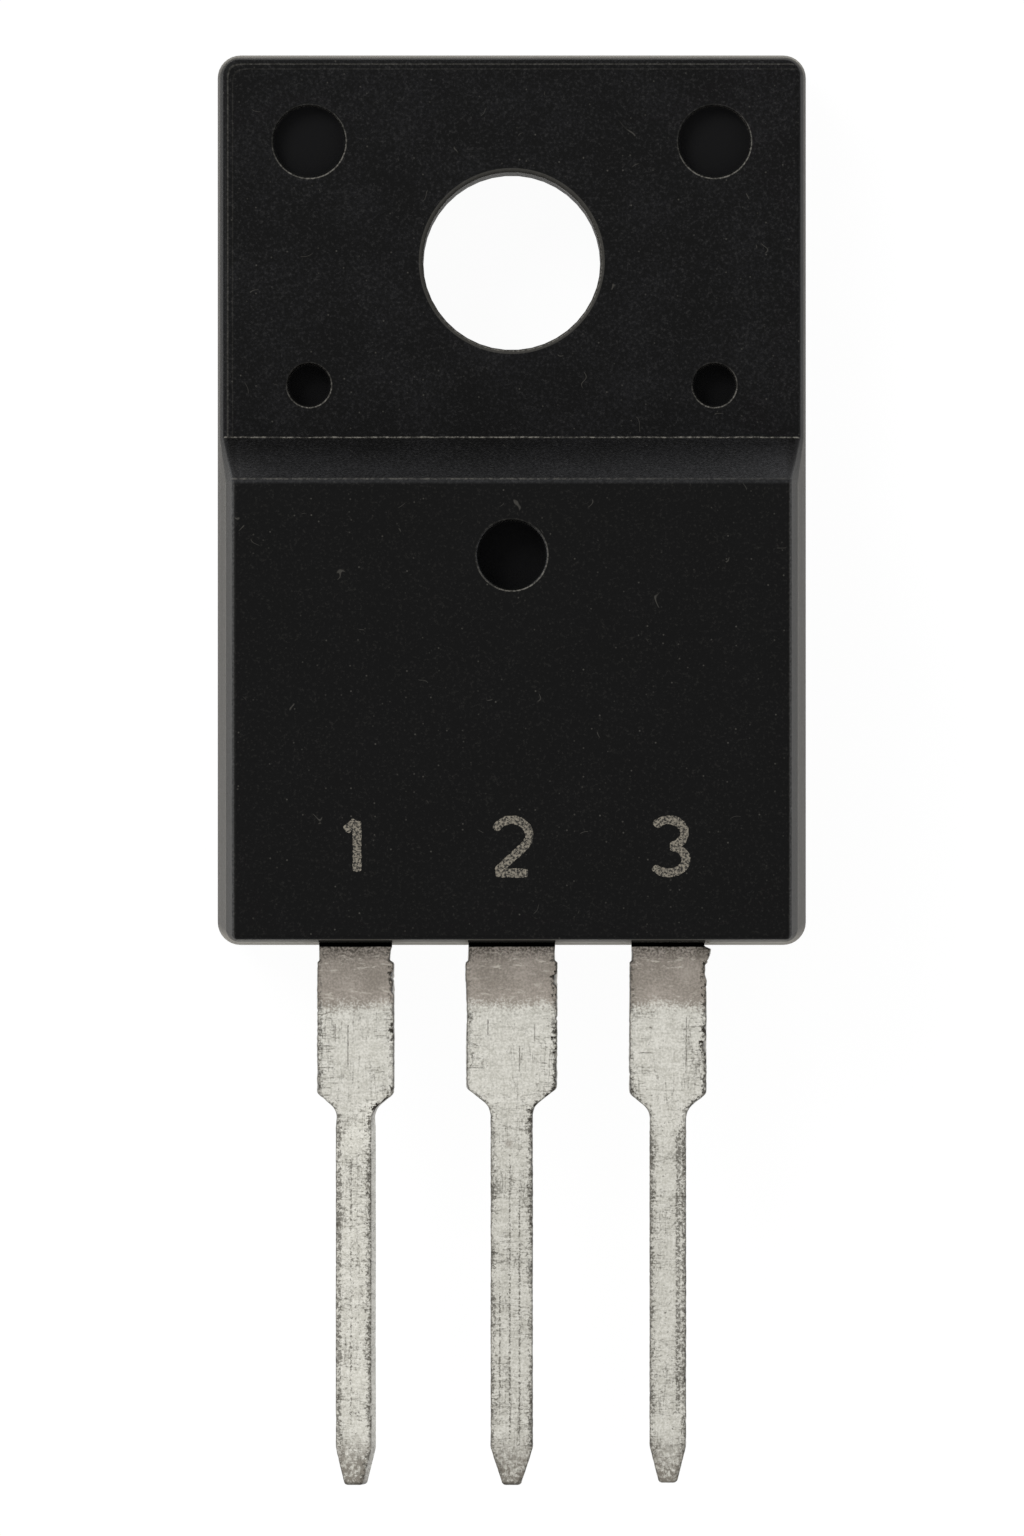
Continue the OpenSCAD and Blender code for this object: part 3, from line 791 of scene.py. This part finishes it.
    def add_edges(self, on: Canvas, colour: Signal, edge: Signal, shear: Signal,
                  flake: Signal) -> Signal:
        """Draws the sheared walls and the line inside each upper edge.

        The walls are torn and dark above, and burnished below. The line is dark and broken. It
        is stronger on the right and along the wide part, and rubbed off in places.

        Args:
            on: The finish in the making.
            colour: The colour below.
            edge: The distance from the strip's upper edges, negative on the walls.
            shear: How torn the wall is.
            flake: A pattern of upright flakes.

        Returns:
            The colour's node.
        """
        add = on.add
        torn = add(MIX, add(RANGE, flake, 0.45, 0.67), self.torn, self.flaked)
        torn = add(MIX, add(RANGE, edge, -0.14, -0.2, 0.0, 0.85), torn, self.burnished)
        colour = add(MIX, shear, colour, torn)
        across = add("ShaderNodeAttribute", attribute_name="across").outputs["Fac"]
        reach = add(RANGE, flake, 0.5, 0.34, 0.006, 0.08)
        beyond = add(MATH, edge, reach, operation="SUBTRACT")
        mask = on.overlap(add(RANGE, beyond, 0.0, 0.018, 1.0, 0.0),
                          add(RANGE, edge, -0.04, -0.02),
                          add(RANGE, flake, 0.56, 0.44, 0.15, 1.0),
                          add(RANGE, on.y, -15.3, -14.9, 0.65, 1.0),
                          add(RANGE, across, -0.3, 0.3, 0.6, 1.0),
                          add(RANGE, on.cloud, 0.42, 0.58, 0.5, 1.0))
        return add(MIX, mask, colour, self.torn)


@dataclass(frozen=True)
class LaserMark:
    """Epoxy burnt by a marking laser: overlapping grey-brown dots on the black ground."""

    burnt: str = "#857f73"
    ground: str = "#2a2927"
    dot: float = 0.042
    relief: float = 2e-6

    def build(self) -> bpy.types.Material:
        """Builds the material.

        Returns:
            The material.
        """
        on = Canvas("laser-marked epoxy", {"Scale": 1 / self.dot, "Detail": 2.0, "Roughness": 0.7})
        dots = on.add(RANGE, on.grain, 0.42, 0.58)
        on.shader.inputs["Roughness"].default_value = 0.85
        on.shader.inputs["Specular IOR Level"].default_value = 0.2
        return on.finish(on.add(MIX, dots, self.ground, self.burnt), dots, self.relief)


@dataclass(frozen=True)
class BuriedMetal:
    """A hidden part's finish: one metal or semiconductor, told by colour, gloss and grain."""

    name: str
    light: str
    dark: str
    roughness: float
    metallic: float
    grain: float
    stretch: Triple = (1.0, 1.0, 1.0)
    relief: float = 1.5e-6

    def build(self) -> bpy.types.Material:
        """Builds the material.

        Returns:
            The material.
        """
        on = Canvas(self.name, {"Scale": 1 / self.grain, "Detail": 3.0}, stretch=self.stretch)
        on.shader.inputs["Metallic"].default_value = self.metallic
        on.shader.inputs["Roughness"].default_value = self.roughness
        return on.finish(on.add(MIX, on.grain, self.light, self.dark), on.grain, self.relief)


# ---- Pieces


@dataclass
class Body:
    """The epoxy moulding: tab, step, thick part, screw hole, pin marks and lead exits."""

    node: str = "moulded_body"
    flat_angle: float = 0.1
    sharp_angle: float = 32.0
    face_weight: int = 80

    def build(self) -> bpy.types.Object:
        """Builds the body from a merged copy of its node, so its rounded rims shade smoothly.

        Returns:
            The body. Rims and corners are smooth below the sharp angle, and large flat faces
            keep their own normals by face-area weights.
        """
        copy = merged_copy(self.node)
        bmesh.ops.dissolve_limit(copy, angle_limit=math.radians(self.flat_angle),
                                 use_dissolve_boundaries=False,
                                 verts=copy.verts[:], edges=copy.edges[:])
        mesh = bpy.data.meshes.new("epoxy_body")
        copy.to_mesh(mesh)
        copy.free()
        piece = link_object("epoxy_body", mesh)
        mesh.set_sharp_from_angle(angle=math.radians(self.sharp_angle))
        weights = piece.modifiers.new("flat faces stay flat", "WEIGHTED_NORMAL")
        weights.keep_sharp = True
        weights.weight = self.face_weight
        return piece

    def dress(self, material: bpy.types.Material) -> None:
        """Builds the body and gives it its finish."""
        adopt(self.build(), material, Slot.EPOXY, self.node)


@dataclass
class Lead:
    """One stamped lead, with whatever the epoxy hides of the same stamping.

    The outside is a loft along the lead: a section of the strip at each of many rows. The inside
    is a copy of the node above the cut. A wander is a list of distances below the body and how
    far the edge strays outwards there.
    """

    name: str
    node: str
    centre: float
    wide: float
    narrow: float
    seed: int
    length: float = 9.46
    twist: float = 0.0
    right_wander: Points = ()
    left_wander: Points = ()
    tear_left: float = 0.025
    tear_right: float = 0.06
    smooth_right: bool = False
    cut: float = -11.9
    root_length: float = 0.26
    root_relief: float = 0.08
    wide_length: float = 2.5
    neck_slope: float = 38.0
    neck_fillet: float = 0.32
    shoulder: float = 0.13
    tip_width: float = 0.32
    tip_length: float = 0.65
    tip_round: float = 0.05
    edge_roll: float = 0.022
    sharp_angle: float = 50.0
    # Shearing: pairs are the spacing and the height of a random line
    sways: Points = ((1.1, 0.004), (0.24, 0.003), (0.06, 0.0035))
    nick_spacing: float = 0.14
    nick_level: float = 0.84
    nick_depth: float = 0.1
    lean: float = 0.012
    lean_sway: tuple[float, float] = (0.09, 0.005)
    lean_limits: tuple[float, float] = (0.003, 0.1)
    tear_spacing: float = 0.13
    tear_level: float = 0.6
    tear_start: float = 0.35
    wall_rough: tuple[float, float] = (0.05, 0.006)
    sag_spacing: float = 0.3
    sag_depth: float = 0.002
    calm_length: float = 0.7
    calm_share: float = 0.35
    twist_length: float = 0.6
    grip_start: float = 0.01
    grip_length: float = 0.05
    row_step: float = 0.02
    wall_points: int = 7
    corner_points: int = 4
    face_points: int = 19
    base_points: int = 9

    def half_width(self, down: Array) -> Array:
        """Half of the strip's width at distances below the body.

        It is straight between the tip's cut, the taper's start, a circular fillet, the neck's
        rounded shoulder and the narrower root.

        Args:
            down: Distances below the body.

        Returns:
            The half widths.
        """
        turn = math.radians(90 - self.neck_slope)
        angle = np.linspace(0, turn, 9)
        sideways = self.neck_fillet * (1 - math.cos(turn))
        neck = ((self.wide - self.narrow) / 2 - sideways) * math.tan(math.radians(self.neck_slope))
        neck_end = self.wide_length + neck + self.neck_fillet * math.sin(turn)
        fillet_x = self.narrow / 2 + self.neck_fillet * (1 - np.cos(angle))
        fillet_y = neck_end - self.neck_fillet * np.sin(angle)
        shoulder_x = self.wide / 2 - self.shoulder * (1 - np.cos(angle))
        shoulder_y = self.wide_length + self.shoulder * (np.sin(angle) - math.tan(turn / 2))
        root = (self.wide - self.root_relief) / 2
        root_end = self.root_length + self.root_relief / 2
        places = np.concatenate([[-1.0, self.root_length, root_end], shoulder_y, fillet_y[::-1],
                                 [self.length - self.tip_length, self.length]])
        halves = np.concatenate([[root, root, self.wide / 2], shoulder_x, fillet_x[::-1],
                                 [self.narrow / 2, self.tip_width / 2]])
        return np.interp(down, places, halves)

    def calm(self, down: Array) -> Array:
        """How rough the shearing is: 1 along the wide part, and less along the narrow part."""
        return np.interp(down, [self.wide_length, self.wide_length + self.calm_length],
                         [1.0, self.calm_share])

    def sheared_edge(self, down: Array, points: Points, fade: Array,
                     rng: np.random.Generator) -> Array:
        """How far a torn edge strays from its true line: a slow sway, a fine tear and nicks.

        Args:
            down: Distances below the body.
            points: The strip's own larger strays, as (distance, stray) pairs.
            fade: 0 where the epoxy grips the strip and 1 below.
            rng: The source of the tears.

        Returns:
            The strays, outwards.
        """
        stray = sum(wander(down, *sway, rng) for sway in self.sways)
        nicks = np.clip(wander(down, self.nick_spacing, 1.0, rng) - self.nick_level, 0, 1)
        stray = (stray - self.nick_depth * nicks) * self.calm(down)
        if points:
            stray = stray + np.interp(down, *np.array(points).T)
        return stray * fade

    def wall_lean(self, down: Array, tear: float, rng: np.random.Generator) -> Array:
        """How far a sheared wall leans in at the top: a little everywhere, and more where it tore.

        Args:
            down: Distances below the body.
            tear: The largest lean at a tear.
            rng: The source of the tears.

        Returns:
            The leans.
        """
        torn = np.clip(wander(down, self.tear_spacing, 1.0, rng) - self.tear_level, 0, 1)
        torn = torn / (1 - self.tear_level)
        lean = self.lean + wander(down, *self.lean_sway, rng) + tear * torn
        return np.clip(lean * self.calm(down), *self.lean_limits)

    def outside(self) -> tuple[Array, Faces, dict[str, Array]]:
        """Lofts the strip outside the body.

        Each row is a rectangle whose walls lean in towards the upper side and whose upper edges
        are rolled over by the punch. Down the strip, rows follow the half width with torn edges,
        turn by the twist, and shrink over the last hundredths at the tip.

        Returns:
            The points in millimetres, the faces, and the edge, shear and across attributes.
        """
        rng = np.random.default_rng(self.seed)
        ends = self.length - self.tip_round * np.array([1.0, 0.7, 0.4, 0.2, 0.08, 0.0])
        down = np.arange(BODY_END - self.cut, self.length - 1.02 * self.tip_round, self.row_step)
        down = np.concatenate([down, ends])
        fade = np.clip((down - self.grip_start) / self.grip_length, 0, 1)
        half = self.half_width(down)
        tip = np.clip(self.tip_round - (self.length - down), 0, self.tip_round)
        rounding = self.tip_round - np.sqrt(self.tip_round ** 2 - tip ** 2)
        right = half + self.sheared_edge(down, self.right_wander, fade, rng) - rounding
        left = half + self.sheared_edge(down, self.left_wander, fade, rng) - rounding
        lean_right = self.wall_lean(down, self.tear_right, rng) * fade
        lean_left = self.wall_lean(down, self.tear_left, rng) * fade

        # Each of these is a column, one number per row
        right, left, lean_right, lean_left, top, grip, roll = (values[:, None] for values in (
            right, left, lean_right, lean_left, STRIP_THICKNESS / 2 - rounding, fade,
            self.edge_roll * fade + 0.001))
        rise = np.linspace(0, 1, self.wall_points)[None, :]
        rough = [wander(down, *self.wall_rough, rng) for _ in range(self.wall_points)]
        rough = np.stack(rough, axis=1) * grip * np.sin(np.pi * rise)
        tear = np.clip((rise - self.tear_start) / (1 - self.tear_start), 0, 1)
        wall_z = -top + (2 * top - roll) * rise
        right_x = right - lean_right * tear + rough
        left_x = -left + lean_left * tear - rough

        # The corners' own end points belong to the walls and the face
        turn = np.pi / 2 * np.linspace(0, 1, self.corner_points)[None, :]
        right_top = right - lean_right - roll * (1 - np.cos(turn))
        left_top = -(left - lean_left) + roll * (1 - np.cos(turn))
        corner_z = (top - roll + roll * np.sin(turn))[:, 1:-1]
        across = (1 - np.cos(np.linspace(0, np.pi, self.face_points)))[None, :] / 2
        right_end, left_end = right_top[:, -1:], left_top[:, -1:]
        face_x = right_end + (left_end - right_end) * across
        sag = [wander(down, self.sag_spacing, 1.0, rng) for _ in range(self.face_points)]
        sag = self.sag_depth * np.stack(sag, axis=1) * grip
        face_z = top + np.minimum(sag, 0) * np.sin(np.pi * across)
        base_x = -left + (left + right) * np.linspace(0, 1, self.base_points)[None, 1:-1]
        base_z = np.repeat(-top, base_x.shape[1], axis=1)

        # Anticlockwise from the base's left end, seen from the tip
        x = np.hstack([base_x, right_x, right_top[:, 1:-1], face_x,
                       left_top[:, 1:-1][:, ::-1], left_x[:, ::-1]])
        z = np.hstack([base_z, wall_z, corner_z, face_z, corner_z[:, ::-1], wall_z[:, ::-1]])
        inner = np.minimum(face_x - left_end, right_end - face_x)
        edge = np.hstack([base_z - 1, wall_z - top, corner_z - top, inner,
                          (corner_z - top)[:, ::-1], (wall_z - top)[:, ::-1]])
        wall, corner = np.ones_like(wall_z), np.full_like(corner_z, 0.5)
        torn = np.hstack([base_z * 0, wall, corner, inner * 0, corner, wall]) * grip
        if self.smooth_right:
            start = base_x.shape[1]
            smooth = np.clip((down - self.wide_length - 0.3) / 0.2, 0, 1)[:, None]
            torn[:, start:start + self.wall_points + corner_z.shape[1]] *= 1 - 0.92 * smooth
        return self.placed(down, x, z), self.skin(*x.shape), {
            "edge": edge.ravel(), "shear": torn.ravel(),
            "across": np.clip(x / half[:, None], -1, 1).ravel()}

    def placed(self, down: Array, x: Array, z: Array) -> Array:
        """Turns the rows by the twist, which grows over the neck, and puts them in their place.

        Args:
            down: Each row's distance below the body.
            x: Places across from the strip's axis, by row.
            z: Heights above the strip's axis, by row.

        Returns:
            The points in millimetres.
        """
        grown = np.clip((down - self.wide_length) / self.twist_length, 0, 1)[:, None]
        angle = math.radians(self.twist) * grown
        y = np.repeat((BODY_END - down)[:, None], x.shape[1], axis=1)
        points = [self.centre + x * np.cos(angle) - z * np.sin(angle), y,
                  STRIP_LOW + STRIP_THICKNESS / 2 + x * np.sin(angle) + z * np.cos(angle)]
        return np.stack(points, axis=-1).reshape(-1, 3)

    def skin(self, rows: int, columns: int) -> Faces:
        """The faces round the rows, closed by one face at each end."""
        last = (rows - 1) * columns
        return grid_faces(rows, columns).tolist() + [list(range(columns))[::-1],
                                                     list(range(last, last + columns))]

    def inside(self) -> tuple[Array, Faces]:
        """Cuts the buried end off a merged copy of the node, and closes the cut.

        Returns:
            The points in millimetres and the faces.
        """
        copy = merged_copy(self.node)
        found = bmesh.ops.bisect_plane(
            copy, geom=copy.verts[:] + copy.edges[:] + copy.faces[:],
            plane_co=(0, self.cut * MM, 0), plane_no=(0, -1, 0), clear_outer=True)
        rim = [item for item in found["geom_cut"] if isinstance(item, bmesh.types.BMEdge)]
        bmesh.ops.holes_fill(copy, edges=rim, sides=0)
        copy.verts.index_update()
        points = np.array([vertex.co for vertex in copy.verts]) / MM
        faces = [[vertex.index for vertex in face.verts] for face in copy.faces]
        copy.free()
        return points, faces

    def build(self) -> bpy.types.Object:
        """Builds the whole stamping.

        Returns:
            The piece: the strip outside, and the buried end, whose points lie far from an edge.
        """
        points, faces, marks = self.outside()
        buried, buried_faces = self.inside()
        faces += [[index + len(points) for index in face] for face in buried_faces]
        marks = {key: np.append(values, np.full(len(buried), float(key == "edge")))
                 for key, values in marks.items()}
        piece = make_object(self.name, np.vstack([points, buried]) * MM, faces, marks)
        piece.data.set_sharp_from_angle(angle=math.radians(self.sharp_angle))
        return piece

    def dress(self, material: bpy.types.Material) -> None:
        """Builds the lead and gives it its finish."""
        adopt(self.build(), material, Slot.TIN, self.node)


@dataclass
class PinNumbers:
    """Generic pin numbers above the leads, written by the marking laser in one or two strokes."""

    centre_y: float = -10.27
    height: float = 1.08
    width: float = 0.62
    stroke: float = 0.145
    proud: float = 0.0005
    depth: float = 0.003
    step: float = 0.0001
    end_width: float = 0.002
    uneven: tuple[float, float] = (0.05, 0.008)
    rows: int = 110
    seed: int = 5

    def paths(self) -> dict[str, list[Array]]:
        """The strokes' centre lines in a box of height 1, made of straight runs and arcs.

        Returns:
            Each number's strokes.
        """
        def arc(y: float, radius_x: float, radius_y: float, start: float, end: float) -> Array:
            """Points on the arc of an ellipse above the middle, between angles in degrees."""
            angle = np.radians(np.linspace(start, end, 24))
            return np.stack([radius_x * np.cos(angle), y + radius_y * np.sin(angle)], axis=1)

        return {"1": [np.array([(-0.3, 0.27), (0.06, 0.5)]), np.array([(0.06, 0.5), (0.06, -0.5)])],
                "2": [np.vstack([arc(0.2, 0.5, 0.3, 165, -30), [(-0.46, -0.49)]]),
                      np.array([(-0.5, -0.5), (0.5, -0.5)])],
                "3": [arc(0.25, 0.46, 0.25, 155, -90), arc(-0.25, 0.5, 0.25, 90, -155)]}

    def stroke_mesh(self, path: Array, lift: float,
                    rng: np.random.Generator) -> tuple[Array, Faces]:
        """Carries a flat section along a path, with round ends and a slightly uneven width.

        Args:
            path: The centre line in millimetres.
            lift: How far its top lies above the first stroke's, so crossings share no plane.
            rng: The source of the unevenness.

        Returns:
            The points in millimetres and the faces.
        """
        steps = np.append(0, np.cumsum(np.linalg.norm(np.diff(path, axis=0), axis=1)))
        along = np.linspace(0, steps[-1], self.rows)
        near = along[:, None] + np.linspace(-0.6, 0.6, 9)[None, :] * self.stroke
        near = np.clip(near, 0, steps[-1])
        x, y = (np.interp(near, steps, path[:, axis]).mean(1) for axis in (0, 1))
        ahead_x, ahead_y = np.gradient(x), np.gradient(y)
        size = np.hypot(ahead_x, ahead_y)
        full = self.stroke / 2
        reach = np.minimum(np.minimum(along, along[-1] - along), full)
        half = np.sqrt(full ** 2 - (full - reach) ** 2) + self.end_width
        half = np.maximum(half + wander(along, *self.uneven, rng), self.end_width / 2)
        side_x, side_y = -ahead_y / size * half, ahead_x / size * half
        high, low = FRONT_FACE + self.proud + lift, FRONT_FACE - self.depth - lift
        section = ((1, high), (-1, high), (-1, low), (1, low))
        points = np.stack([(x + way * side_x, y + way * side_y, np.full_like(x, z))
                           for way, z in section]).transpose(2, 0, 1)
        faces = grid_faces(self.rows, len(section))[:, ::-1].tolist()
        last = len(section) * (self.rows - 1)
        faces += [[0, 1, 2, 3], [last + i for i in (3, 2, 1, 0)]]
        return points.reshape(-1, 3), faces

    def dress(self, material: bpy.types.Material) -> None:
        """Builds the numbers as one piece and gives them their finish.

        Args:
            material: The finish.
        """
        rng = np.random.default_rng(self.seed)
        points, faces = np.empty((0, 3)), []
        for index, strokes in enumerate(self.paths().values()):
            for order, path in enumerate(strokes):
                scaled = path * (self.width, self.height - self.stroke)
                scaled = scaled + ((index - 1) * LEAD_PITCH, self.centre_y)
                new_points, new_faces = self.stroke_mesh(scaled, order * self.step, rng)
                faces += [[number + len(points) for number in face] for face in new_faces]
                points = np.vstack([points, new_points])
        adopt(make_object("pin_numbers", points * MM, faces, smooth=False), material, Slot.EPOXY)


@dataclass
class BuriedParts:
    """The die, its solder and the bond wires, which keep their nodes and get their finishes."""

    finishes: dict[str, BuriedMetal] = field(default_factory=lambda: {
        "silicon_die": BuriedMetal("aluminised silicon", "#8d9298", "#6b7078", 0.25, 0.6, 0.4),
        "die_attach_solder": BuriedMetal("lead-rich solder", "#8f9093", "#77787b", 0.45, 1.0, 0.2),
        "gate_bond_wire": BuriedMetal("drawn aluminium wire", "#dcdddf", "#c6c8ca", 0.3, 1.0, 0.03,
                                      (1.0, 0.2, 1.0)),
    })

    def dress(self) -> None:
        """Gives each buried node its finish. The source wires share the gate wire's."""
        built = {node: finish.build() for node, finish in self.finishes.items()}
        for name in ("source_bond_wire_1", "source_bond_wire_2"):
            built[name] = built["gate_bond_wire"]
        for node, material in built.items():
            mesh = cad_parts[node].data
            mesh.materials.clear()
            mesh.materials.append(material)
            log.info("%s: kept", node)


@dataclass
class Studio:
    """The floor, the lights and the camera, which looks straight down on the part."""

    camera_height: float = 400.0
    aim_x: float = 0.004
    aim_y: float = -8.903
    view_height: float = 27.061
    view_level: float = 1.25
    sensor: float = 24.0
    floor_size: float = 1.2
    floor_tone: str = "#f0f0f0"
    floor_glow: float = 1.03
    floor_seen: float = 0.93
    fill: float = 0.7
    lamp_watts: float = 1.2
    lamp_size: float = 0.22
    lamp_place: Triple = (-0.25, 0.24, 0.35)

    def add_floor(self) -> None:
        """A pale matte floor. The camera and mirrors see it white, and it keeps a faint shadow."""
        corners = np.array([(-1, -1, 0), (1, -1, 0), (1, 1, 0), (-1, 1, 0)]) * self.floor_size / 2
        floor = make_object("floor", corners - (0, 0, 1e-6), [[0, 1, 2, 3]])
        material = bpy.data.materials.new("pale matte floor")
        nodes = Nodes(material)
        matte = nodes.add("ShaderNodeBsdfDiffuse", Color=self.floor_tone)
        glow = nodes.add("ShaderNodeEmission", Color="#ffffff", Strength=self.floor_glow)
        seen = nodes.overlap(nodes.seen_rays(), self.floor_seen)
        mixed = nodes.add("ShaderNodeMixShader", seen, matte, glow)
        nodes.add("ShaderNodeOutputMaterial", Surface=mixed)
        floor.data.materials.append(material)

    def add_lights(self) -> None:
        """A white tent all round, and a soft lamp from the upper left."""
        world = bpy.data.worlds.new("white tent")
        nodes = Nodes(world)
        strength = nodes.add(RANGE, nodes.seen_rays(), 0.0, 1.0, self.fill, 1.0)
        light = nodes.add("ShaderNodeBackground", Color="#ffffff", Strength=strength)
        nodes.add("ShaderNodeOutputWorld", Surface=light)
        bpy.context.scene.world = world
        lamp = bpy.data.lights.new("soft lamp", "AREA")
        lamp.energy = self.lamp_watts
        lamp.size = self.lamp_size
        holder = self.hang("soft lamp", lamp, self.lamp_place)
        aim = np.array([0.0, self.aim_y * MM, 0.0]) - np.array(holder.location)
        holder.rotation_euler = (math.atan2(math.hypot(aim[0], aim[1]), -aim[2]), 0,
                                 math.atan2(aim[1], aim[0]) - math.pi / 2)

    def add_camera(self) -> None:
        """The camera, straight above, with the part's length upright in the picture."""
        camera = bpy.data.cameras.new("camera")
        camera.sensor_fit = "VERTICAL"
        camera.sensor_height = self.sensor
        camera.lens = self.sensor * (self.camera_height - self.view_level) / self.view_height
        camera.clip_start = 0.01
        place = (self.aim_x * MM, self.aim_y * MM, self.camera_height * MM)
        bpy.context.scene.camera = self.hang("camera", camera, place)

    def hang(self, name: str, data: bpy.types.ID, place: Triple) -> bpy.types.Object:
        """Puts a lamp or a camera into the scene.

        Args:
            name: The object's name.
            data: The lamp or the camera.
            place: Where it hangs, in metres.

        Returns:
            The object.
        """
        holder = bpy.data.objects.new(name, data)
        holder.location = place
        bpy.context.scene.collection.objects.link(holder)
        return holder

    def build(self) -> None:
        """Builds the whole studio."""
        self.add_floor()
        self.add_lights()
        self.add_camera()
        bpy.context.scene.view_settings.view_transform = "Standard"


LEADS = (
    Lead("gate_strip", "gate_lead", -LEAD_PITCH, 1.36, 0.64, seed=11, wide_length=2.6, twist=8.5,
         smooth_right=True, right_wander=((0, 0), (0.1, -0.02), (0.25, -0.03), (0.3, 0.0))),
    Lead("drain_strip", "header_and_drain_lead", 0.0, 1.6, 0.74, seed=23,
         left_wander=((0, 0.0), (0.5, 0.02), (1.2, -0.01), (1.6, 0.0))),
    Lead("source_strip", "source_lead", LEAD_PITCH, 1.36, 0.64, seed=37, wide_length=2.6,
         length=9.42, right_wander=((0, 0.12), (0.14, 0.11), (0.25, 0.06), (0.34, -0.02),
                                    (0.5, -0.03), (0.62, 0.0))),
)


def main() -> None:
    """Builds the studio, then the part's pieces in order."""
    logging.basicConfig(level=logging.INFO)
    Studio().build()
    Body().dress(MouldedEpoxy().build())
    tin = TinnedCopper().build()
    for lead in LEADS:
        lead.dress(tin)
    BuriedParts().dress()
    PinNumbers().dress(LaserMark().build())


if __name__ == "__main__":
    main()
